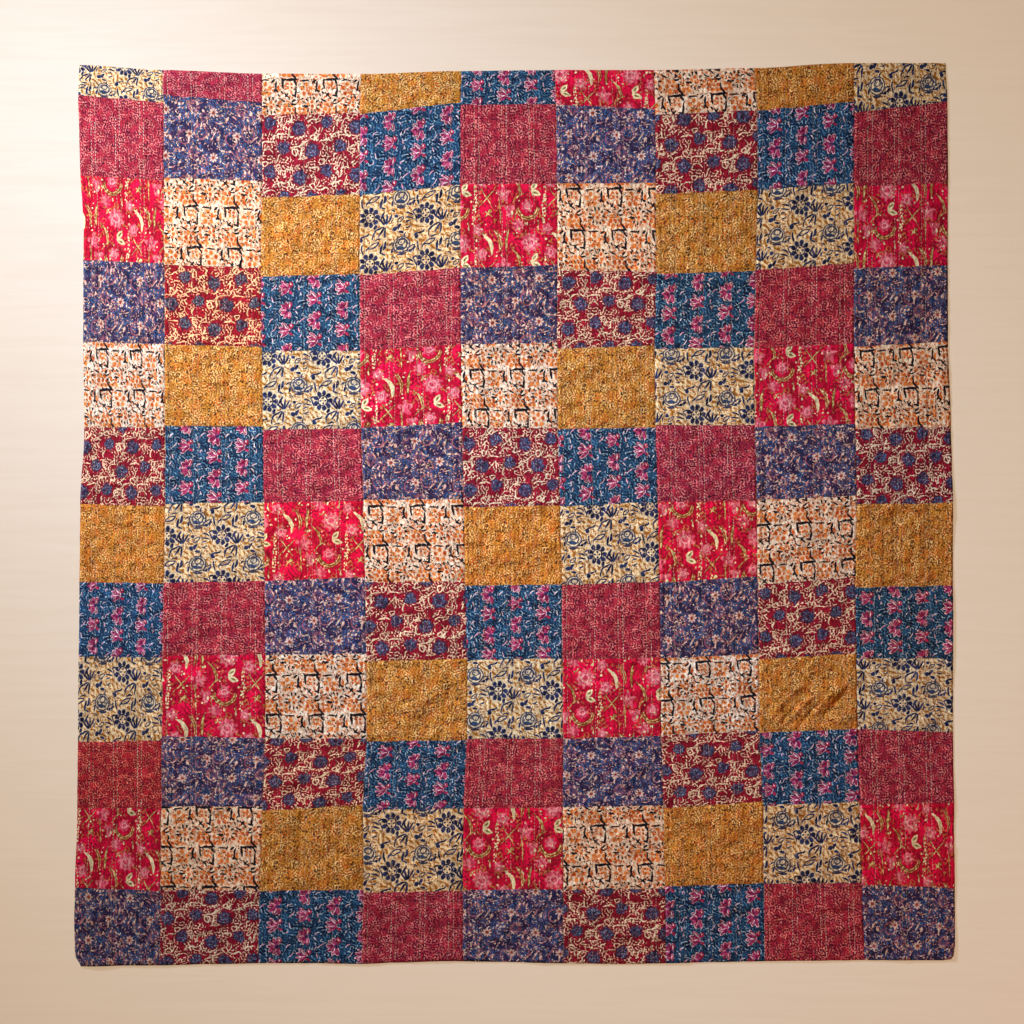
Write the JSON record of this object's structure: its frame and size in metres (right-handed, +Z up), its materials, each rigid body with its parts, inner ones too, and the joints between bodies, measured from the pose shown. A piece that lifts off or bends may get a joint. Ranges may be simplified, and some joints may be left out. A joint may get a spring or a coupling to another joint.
{
  "type": "kantha quilt",
  "caption": "Flat patchwork bed quilt of thin cotton layers joined by close rows of running stitch, laid out on a surface.",
  "frame": {"origin": "middle of the quilt's outline, on the surface that it lies on", "axes": "+Z up, X across the quilt, +Y along it towards its head, with the rows of stitching along Y"},
  "size_m": [2.2718, 2.33, 0.0109],
  "materials": {
    "patchwork": "block-printed cotton, stitched and washed soft",
    "backing": "plain natural cotton",
    "thread": "matt cotton sewing thread"
  },
  "bodies": {
    "root": {"quilt": "patchwork"}
  },
  "joints": []
}
